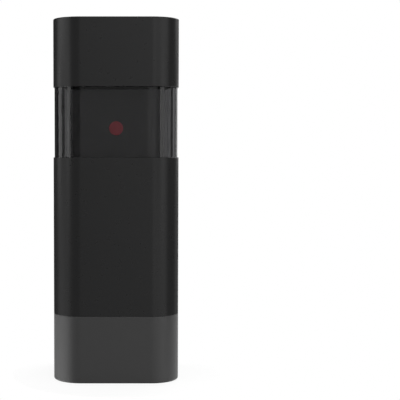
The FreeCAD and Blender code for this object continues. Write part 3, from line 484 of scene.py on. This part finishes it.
satin_black = moulded(
    "satin_black_plastic", BODY_BLACK, gloss=0.26, spread=0.04, grain=7000.0, depth=0.003 * MM
)
body_mesh = closed_cover(
    "body",
    [
        (0.0, BODY_BOTTOM, PARTING_EDGE),
        (0.0, WINDOW_BOTTOM, PARTING_EDGE),
        (SKIRT, WINDOW_BOTTOM, INNER_EDGE),
        (SKIRT, WINDOW_BOTTOM - LAP, INNER_EDGE),
        (WALL, WINDOW_BOTTOM - LAP, INNER_EDGE),
        (WALL, BODY_BOTTOM + LAP, INNER_EDGE),
        (SKIRT, BODY_BOTTOM + LAP, INNER_EDGE),
        (SKIRT, BODY_BOTTOM, INNER_EDGE),
    ],
    [rib(-RIB_MIDDLE), rib(RIB_MIDDLE)],
)
finished("body", body_mesh, satin_black, "body_shell")

# Window band
# Polished smoked polycarbonate that wraps the front and both sides, set in a little from the covers.
# A thin spigot at its top and bottom edges slides inside the skirts of the cap and the body.
CAP_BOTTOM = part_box("top_cap")[0].z
WINDOW_INSET = HALF_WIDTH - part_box("window_shell")[1].x
WINDOW_EDGE = 0.08 * MM
SPIGOT = 1.2 * MM
LAP_REACH = 3.8 * MM
CLEAR = (0.93, 0.93, 0.93)
WINDOW_IOR = 1.5
SMOKE = (0.30, 0.30, 0.31)
SMOKE_DENSITY = 540.0


def smoked_polycarbonate(name):
    """Clear plastic that smoke darkens by its depth, so its edges are darker than its faces.
    The melt drifts a little in clearness, and faint flow lines wander in its gloss."""
    material = moulded(name, CLEAR, gloss=0.0, spread=0.05, drift=0.06, grain=120.0, depth=0.0005 * MM)
    tree = material.node_tree
    shader = tree.nodes["Principled BSDF"]
    shader.inputs["Transmission Weight"].default_value = 1.0
    shader.inputs["IOR"].default_value = WINDOW_IOR
    smoke = tree.nodes.new("ShaderNodeVolumeAbsorption")
    smoke.inputs["Color"].default_value = (*SMOKE, 1.0)
    smoke.inputs["Density"].default_value = SMOKE_DENSITY
    tree.links.new(smoke.outputs["Volume"], tree.nodes["Material Output"].inputs["Volume"])
    return material


window_mesh = closed_cover(
    "window",
    [
        (WINDOW_INSET, WINDOW_BOTTOM, WINDOW_EDGE),
        (WINDOW_INSET, CAP_BOTTOM, WINDOW_EDGE),
        (SPIGOT, CAP_BOTTOM, INNER_EDGE),
        (SPIGOT, CAP_BOTTOM + LAP_REACH, INNER_EDGE),
        (WALL, CAP_BOTTOM + LAP_REACH, INNER_EDGE),
        (WALL, WINDOW_BOTTOM - LAP_REACH, INNER_EDGE),
        (SPIGOT, WINDOW_BOTTOM - LAP_REACH, INNER_EDGE),
        (SPIGOT, WINDOW_BOTTOM, INNER_EDGE),
    ],
)
finished("window", window_mesh, smoked_polycarbonate("smoked_window"), "window_shell")

# Top cap
# The same satin black moulding as the body, closed by a flat roof with a crisp edge.
# It slides down over the spigot of the window and catches on the tongue of the wall plate.
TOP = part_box("top_cap")[1].z
TOP_EDGE = 0.4 * MM
CATCH_FRONT = 8.2 * MM
CATCH_REAR = 10.0 * MM
CATCH_HALF = 7.4 * MM
CATCH_BOTTOM = 104.9 * MM
SLOT_HALF = 5.0 * MM
SLOT_BOTTOM = 106.7 * MM
SLOT_TOP = 109.9 * MM


def opened(corners):
    """Rounded profile that starts and ends at its first and last corner, without the side between them."""
    profile = eased(corners)
    ends = np.asarray(corners)[:, :2]
    return np.vstack([ends[:1], profile[CORNER_STEPS:-CORNER_STEPS], ends[-1:]])


def middle_grid(height):
    """Flat grid at that height inside the corner centres, which meets the points of the plan's path."""
    y, x = np.meshgrid(SIDE_Y, FRONT_X, indexing="ij")
    return np.stack([x, y, np.full_like(x, height)], axis=-1)


def rear_edge(low, high):
    """Strip that closes the rear end of a roof or floor between two heights."""
    x = np.broadcast_to(FRONT_X, (2, FRONT_STEPS))
    z = np.broadcast_to([[low], [high]], x.shape)
    return np.stack([x, np.full_like(x, REAR), z], axis=-1)


def catch_frame():
    """Frame that hangs from the roof round a slot: two rectangles, one inside the other, each at the front
    and the rear of the frame, joined in a ring. Its top is rooted half way into the roof."""
    outside = rectangle(-CATCH_HALF, CATCH_HALF, CATCH_BOTTOM, TOP - WALL / 2)
    slot = rectangle(-SLOT_HALF, SLOT_HALF, SLOT_BOTTOM, SLOT_TOP)
    rows = [(outside, CATCH_FRONT), (outside, CATCH_REAR), (slot, CATCH_REAR), (slot, CATCH_FRONT)]
    return np.stack([np.insert(loop, 1, depth, axis=1) for loop, depth in rows + rows[:1]])


cap_profile = opened(
    [
        (CORNER, TOP - WALL, INNER_EDGE),
        (WALL, TOP - WALL, INNER_EDGE),
        (WALL, CAP_BOTTOM + LAP, INNER_EDGE),
        (SKIRT, CAP_BOTTOM + LAP, INNER_EDGE),
        (SKIRT, CAP_BOTTOM, INNER_EDGE),
        (0.0, CAP_BOTTOM, PARTING_EDGE),
        (0.0, TOP, TOP_EDGE),
        (CORNER, TOP, INNER_EDGE),
    ]
)
cap_grid = carried(cap_profile)
cap_roof = [middle_grid(TOP), middle_grid(TOP - WALL), rear_edge(TOP - WALL, TOP)]
cap_mesh = welded("cap", [cap_grid, *cap_roof, catch_frame()], [cap_grid[0], cap_grid[-1]])
finished("cap", cap_mesh, satin_black, "top_cap")

# Base cover
# A grey moulding with a coarser matt grain that closes the bottom and carries the body on its spigot.
# A hollow boss in its floor takes the screw that pulls it against the wall plate.
FOOT_EDGE = 0.6 * MM
BASE_GREY = (0.0222, 0.0222, 0.0224)
BASE_IOR = 1.6
BASE_SHEEN = 0.2
SCREW_Y = 5.85 * MM
HEAD_ROOM = 2.95 * MM
HEAD_DEPTH = 2.3 * MM
SHANK_ROOM = 1.65 * MM
BOSS_RADIUS = 4.15 * MM
BOSS_TOP = 4.8 * MM


def floor_ring():
    """Grid from the edge of the middle of the floor to the screw's hole, through it and out over the boss.
    Each row is the edge itself, or a circle about the screw with a point in line with each of the edge's."""
    front = np.stack([FRONT_X, np.full_like(FRONT_X, FRONT + CORNER)], axis=-1)
    right = np.stack([np.full_like(SIDE_Y, HALF_WIDTH - CORNER), SIDE_Y[::-1]], axis=-1)
    rear = np.stack([FRONT_X[::-1], np.full_like(FRONT_X, REAR)], axis=-1)
    left = np.stack([np.full_like(SIDE_Y, CORNER - HALF_WIDTH), SIDE_Y], axis=-1)
    edge = np.concatenate([front[:-1], right[:-1], rear[:-1], left])
    centre = np.array([0.0, SCREW_Y])
    ray = edge - centre
    ray = ray / np.linalg.norm(ray, axis=1, keepdims=True)
    circles = [
        (HEAD_ROOM + FOOT_EDGE / 2, 0.0),
        (HEAD_ROOM, FOOT_EDGE / 2),
        (HEAD_ROOM, HEAD_DEPTH),
        (SHANK_ROOM, HEAD_DEPTH),
        (SHANK_ROOM, BOSS_TOP),
        (BOSS_RADIUS, BOSS_TOP),
        (BOSS_RADIUS, WALL),
    ]
    flat = np.stack([edge, *[centre + ray * radius for radius, _ in circles], edge])
    heights = np.array([0.0, *[height for _, height in circles], WALL])
    return np.concatenate([flat, np.broadcast_to(heights[:, None, None], (*flat.shape[:2], 1))], axis=-1)


matt_grey = moulded(
    "matt_grey_plastic", BASE_GREY, gloss=0.42, spread=0.08, grain=2200.0, depth=0.01 * MM, level=1.0
)
grey_shader = matt_grey.node_tree.nodes["Principled BSDF"]
grey_shader.inputs["IOR"].default_value = BASE_IOR
grey_shader.inputs["Sheen Weight"].default_value = BASE_SHEEN
base_profile = opened(
    [
        (CORNER, WALL, INNER_EDGE),
        (WALL, WALL, INNER_EDGE),
        (WALL, BODY_BOTTOM + LAP_REACH, INNER_EDGE),
        (SPIGOT, BODY_BOTTOM + LAP_REACH, INNER_EDGE),
        (SPIGOT, BODY_BOTTOM, INNER_EDGE),
        (0.0, BODY_BOTTOM, PARTING_EDGE),
        (0.0, 0.0, FOOT_EDGE),
        (CORNER, 0.0, INNER_EDGE),
    ]
)
base_grid = carried(base_profile)
base_floor = [floor_ring(), rear_edge(0.0, WALL)]
base_mesh = welded("base", [base_grid, *base_floor], [base_grid[0], base_grid[-1]])
finished("base", base_mesh, matt_grey, "base_cover")

# Base screw
# A zinc plated pan head screw, driven up from below through the boss of the base into the lug of the plate.
# Its head has a pressed cross recess and its shank a rolled thread.
HEAD_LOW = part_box("base_screw")[0].z
SHANK_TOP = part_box("base_screw")[1].z
HEAD_RADIUS = 2.8 * MM
HEAD_CROWN = 0.7 * MM
CROWN_POWER = 3
SHANK_RADIUS = 1.5 * MM
THREAD_PITCH = 1.1 * MM
THREAD_DEPTH = 0.22 * MM
RECESS_REACH = 1.5 * MM
RECESS_HALF = 0.42 * MM
RECESS_DEPTH = 1.0 * MM
SCREW_STEPS = 96
HEAD_ROWS = 44
SHANK_ROWS = 110


def screw_grids(start, end, rows):
    """Grids of a measure that runs from start to end in equal steps, and of the angle round the screw."""
    return np.meshgrid(np.linspace(start, end, rows), np.linspace(0.0, 2 * pi, SCREW_STEPS + 1))


def screw_head():
    """Crown of the head as a height over radius and angle: a bowl that rises with a power of the radius, and
    the cross recess. The recess is full depth along the middle of either arm, and fades to nothing at the
    arm's half width and at its end."""
    radius, angle = screw_grids(0.0, HEAD_RADIUS, HEAD_ROWS)
    x = radius * np.cos(angle)
    y = radius * np.sin(angle)
    near_arm = np.minimum(np.abs(x), np.abs(y))
    along_arm = np.maximum(np.abs(x), np.abs(y))
    wall = np.clip((RECESS_HALF - near_arm) / (RECESS_HALF / 2), 0.0, 1.0)
    end = np.clip((RECESS_REACH - along_arm) / RECESS_HALF, 0.0, 1.0)
    crown = HEAD_LOW + HEAD_CROWN * (radius / HEAD_RADIUS) ** CROWN_POWER
    return np.stack([x, y + SCREW_Y, crown + RECESS_DEPTH * wall * end], axis=-1)


def screw_shank():
    """Thread as a radius over height and angle: a ridge that climbs one pitch a turn, its groove dying away
    within a pitch of both ends."""
    height, angle = screw_grids(HEAD_DEPTH, SHANK_TOP, SHANK_ROWS)
    phase = (height / THREAD_PITCH - angle / (2 * pi)) % 1.0
    groove = np.abs(2 * phase - 1)
    below_top = np.clip((SHANK_TOP - height) / THREAD_PITCH, 0.0, 1.0)
    above_head = np.clip((height - HEAD_DEPTH) / THREAD_PITCH, 0.0, 1.0)
    radius = SHANK_RADIUS - THREAD_DEPTH * groove * below_top * above_head
    return np.stack([radius * np.cos(angle), radius * np.sin(angle) + SCREW_Y, height], axis=-1)


head_outline = np.array(
    [
        (HEAD_RADIUS, HEAD_LOW + HEAD_CROWN),
        (HEAD_RADIUS, HEAD_DEPTH),
        (SHANK_RADIUS, HEAD_DEPTH),
    ]
)
across, along, up = turned(head_outline, SCREW_STEPS)
head_side = np.stack([across, up + SCREW_Y, along], axis=-1)
shank = screw_shank()
screw_mesh = welded("screw", [screw_head(), head_side, shank], [shank[:-1, -1]])
finished("screw", screw_mesh, steel, "base_screw")

# Table
# The sensor stands on a small round table, which the camera sees almost plain white with a faint shadow.
# Polished surfaces don't mirror it, and the light of the low lamps passes through it.
TABLE_RADIUS = 34.0 * MM
TABLE_STEPS = 96
TABLE_RINGS = 12
TABLE_WHITE = (0.86, 0.86, 0.86)
TABLE_DROP = 0.02 * MM
TABLE_GLOW = 0.85


def staged(name, mesh, material):
    """Object of the stage, which isn't part of the sensor."""
    thing = bpy.data.objects.new(name, mesh)
    thing.data.materials.append(material)
    bpy.context.scene.collection.objects.link(thing)
    return thing


table_white = moulded("table_white", TABLE_WHITE, gloss=0.7, drift=0.0, level=0.0)
tree = table_white.node_tree
ray = tree.nodes.new("ShaderNodeLightPath")
share = tree.nodes.new("ShaderNodeMath")
share.operation = "MULTIPLY"
share.inputs[1].default_value = TABLE_GLOW
tree.links.new(ray.outputs["Is Camera Ray"], share.inputs[0])
glow = tree.nodes.new("ShaderNodeEmission")
shown = tree.nodes.new("ShaderNodeMixShader")
tree.links.new(share.outputs[0], shown.inputs["Fac"])
tree.links.new(tree.nodes["Principled BSDF"].outputs["BSDF"], shown.inputs[1])
tree.links.new(glow.outputs["Emission"], shown.inputs[2])
passed = tree.nodes.new("ShaderNodeMath")
passed.operation = "MAXIMUM"
tree.links.new(ray.outputs["Is Glossy Ray"], passed.inputs[0])
tree.links.new(ray.outputs["Is Shadow Ray"], passed.inputs[1])
clear = tree.nodes.new("ShaderNodeBsdfTransparent")
unmirrored = tree.nodes.new("ShaderNodeMixShader")
tree.links.new(passed.outputs[0], unmirrored.inputs["Fac"])
tree.links.new(shown.outputs["Shader"], unmirrored.inputs[1])
tree.links.new(clear.outputs["BSDF"], unmirrored.inputs[2])
tree.links.new(unmirrored.outputs["Shader"], tree.nodes["Material Output"].inputs["Surface"])
rings = np.linspace(0.0, TABLE_RADIUS, TABLE_RINGS)
across, along, up = turned(np.stack([rings, np.full_like(rings, -TABLE_DROP)], axis=-1), TABLE_STEPS)
staged("table", welded("table", [np.stack([across, up, along], axis=-1)]), table_white)

# Card
# A plain white card that stands upright behind the sensor and faces it.
# It is what the window and the polished edges show of the white background.
CARD_LEFT = -74.0 * MM
CARD_RIGHT = 140.0 * MM
CARD_BOTTOM = -80.0 * MM
CARD_TOP = 163.0 * MM
CARD_BEHIND = 300.0 * MM

card_white = bpy.data.materials.new("card_white")
card_white.use_nodes = True
tree = card_white.node_tree
glow = tree.nodes.new("ShaderNodeEmission")
tree.links.new(glow.outputs["Emission"], tree.nodes["Material Output"].inputs["Surface"])
x, z = np.meshgrid([CARD_LEFT, CARD_RIGHT], [CARD_BOTTOM, CARD_TOP])
card_face = np.stack([x, np.full_like(x, CARD_BEHIND), z], axis=-1)
card = staged("card", welded("card", [card_face]), card_white)
card.visible_camera = False
card.visible_diffuse = False
card.visible_shadow = False

# Studio
# The room is white to the camera and lights matt surfaces evenly from all sides.
# Reflections and the window see it dark, apart from the card and the lamps.
WHITE = 1.0
STUDIO_DARK = 0.03
ROOM_LIGHT = 0.75

world = bpy.data.worlds.new("studio")
bpy.context.scene.world = world
world.use_nodes = True
tree = world.node_tree
background = tree.nodes["Background"]
background.inputs["Color"].default_value = (WHITE, WHITE, WHITE, 1.0)
ray = tree.nodes.new("ShaderNodeLightPath")
lit = tree.nodes.new("ShaderNodeMath")
lit.operation = "MINIMUM"
lit.inputs[1].default_value = 1.0
tree.links.new(ray.outputs["Diffuse Depth"], lit.inputs[0])
shine = tree.nodes.new("ShaderNodeMix")
shine.inputs["A"].default_value = STUDIO_DARK
shine.inputs["B"].default_value = ROOM_LIGHT
tree.links.new(lit.outputs[0], shine.inputs["Factor"])
seen = tree.nodes.new("ShaderNodeMix")
seen.inputs["B"].default_value = WHITE
tree.links.new(ray.outputs["Is Camera Ray"], seen.inputs["Factor"])
tree.links.new(shine.outputs["Result"], seen.inputs["A"])
tree.links.new(seen.outputs["Result"], background.inputs["Strength"])

# Lamps
# Soft boxes on stands round the table, each named by where it stands and turned to the middle of the sensor.
# Azimuth is from the front, positive to the right of the picture.
# Brightness is what the face of the lamp shows, where the white background shows 1.
SENSOR_MIDDLE = 58.0 * MM
LAMP_DISTANCE = 0.8


def soft_box(name, azimuth, elevation, width, height, brightness):
    """Area lamp on a sphere about the sensor's middle, facing it. Its power is brightness times pi times
    its area."""
    turn = radians(azimuth)
    rise = radians(elevation)
    outward = np.array([sin(turn) * cos(rise), -cos(turn) * cos(rise), sin(rise)])
    lamp = bpy.data.lights.new(name, "AREA")
    lamp.shape = "RECTANGLE"
    lamp.size = width
    lamp.size_y = height
    lamp.energy = brightness * pi * width * height
    stand = bpy.data.objects.new(name, lamp)
    stand.location = np.array([0.0, 0.0, SENSOR_MIDDLE]) + outward * LAMP_DISTANCE
    stand.rotation_euler = (pi / 2 - rise, 0.0, turn)
    stand.visible_camera = False
    bpy.context.scene.collection.objects.link(stand)


def filling(degrees):
    """Width of a lamp that fills that angle, seen from the sensor: twice the distance times the tangent of
    half the angle."""
    return 2 * LAMP_DISTANCE * tan(radians(degrees / 2))


soft_box("overhead", azimuth=0.0, elevation=88.0, width=1.0, height=1.0, brightness=1.2)
soft_box("rear", azimuth=155.0, elevation=38.0, width=0.7, height=0.5, brightness=2.2)

# Each row of boxes has an elevation in degrees and a height in metres.
# The cap mirrors the upper row, the window the middle one and the body the lower one.
# The lowest row lights the base from below the table.
UPPER_ROW = (17.0, 0.26)
MIDDLE_ROW = (3.0, 0.082)
LOWER_ROW = (-9.0, 0.24)
LOWEST_ROW = (-33.0, 0.30)

# Name of a box, its row, the azimuths of its two ends, and its brightness.
for name, (elevation, height), start, end, brightness in (
    ("upper_front", UPPER_ROW, -6.0, 14.0, 0.38),
    ("upper_left", UPPER_ROW, -108.0, -49.0, 0.66),
    ("upper_left_middle", UPPER_ROW, -95.0, -68.0, 0.54),
    ("upper_right", UPPER_ROW, 10.0, 74.0, 0.69),
    ("upper_right_rear", UPPER_ROW, 118.0, 144.0, 0.55),
    ("middle_front", MIDDLE_ROW, -6.0, 20.0, 0.23),
    ("middle_front_right", MIDDLE_ROW, 2.5, 20.0, 0.16),
    ("middle_left", MIDDLE_ROW, -59.5, -46.0, 1.27),
    ("middle_left_outer", MIDDLE_ROW, -75.0, -59.5, 0.50),
    ("middle_left_side", MIDDLE_ROW, -112.5, -91.0, 1.20),
    ("middle_left_rear", MIDDLE_ROW, -155.0, -122.0, 0.05),
    ("middle_right_inner", MIDDLE_ROW, 19.0, 33.0, 0.22),
    ("middle_right", MIDDLE_ROW, 40.0, 57.0, 1.20),
    ("middle_right_outer", MIDDLE_ROW, 57.0, 71.0, 0.40),
    ("middle_right_side", MIDDLE_ROW, 95.5, 101.0, 0.30),
    ("middle_right_rear", MIDDLE_ROW, 131.0, 155.0, 0.80),
    ("lower_front", LOWER_ROW, -6.0, 14.0, 0.18),
    ("lower_left", LOWER_ROW, -108.0, -49.0, 0.25),
    ("lower_left_middle", LOWER_ROW, -94.0, -76.0, 0.10),
    ("lower_right", LOWER_ROW, 10.0, 68.0, 0.42),
    ("lower_right_rear", LOWER_ROW, 118.0, 144.0, 0.20),
    ("low_left", LOWEST_ROW, -125.0, -60.0, 2.3),
    ("low_right", LOWEST_ROW, 50.0, 110.0, 0.60),
    ("low_right_rear", LOWEST_ROW, 110.0, 150.0, 1.5),
):
    soft_box(name, (start + end) / 2, elevation, filling(end - start), height, brightness)

# Camera
# Stands in front of the sensor a little above its middle and looks slightly down.
# The shift only moves the sensor to the left of the frame.
AIM = np.array([0.0, FRONT, SENSOR_MIDDLE])
CAMERA_DISTANCE = 0.3285
CAMERA_PITCH = radians(2.95)
FOCAL_LENGTH = 94.65
FILM_WIDTH = 36.0
FRAME_SHIFT = 0.2098
NEAREST = 10.0 * MM

optics = bpy.data.cameras.new("camera")
optics.lens = FOCAL_LENGTH
optics.sensor_width = FILM_WIDTH
optics.sensor_fit = "HORIZONTAL"
optics.shift_x = FRAME_SHIFT
optics.clip_start = NEAREST
camera = bpy.data.objects.new("camera", optics)
camera.location = AIM + CAMERA_DISTANCE * np.array([0.0, -cos(CAMERA_PITCH), sin(CAMERA_PITCH)])
camera.rotation_euler = (pi / 2 - CAMERA_PITCH, 0.0, 0.0)
bpy.context.scene.collection.objects.link(camera)
bpy.context.scene.camera = camera
bpy.context.scene.view_settings.view_transform = "Standard"
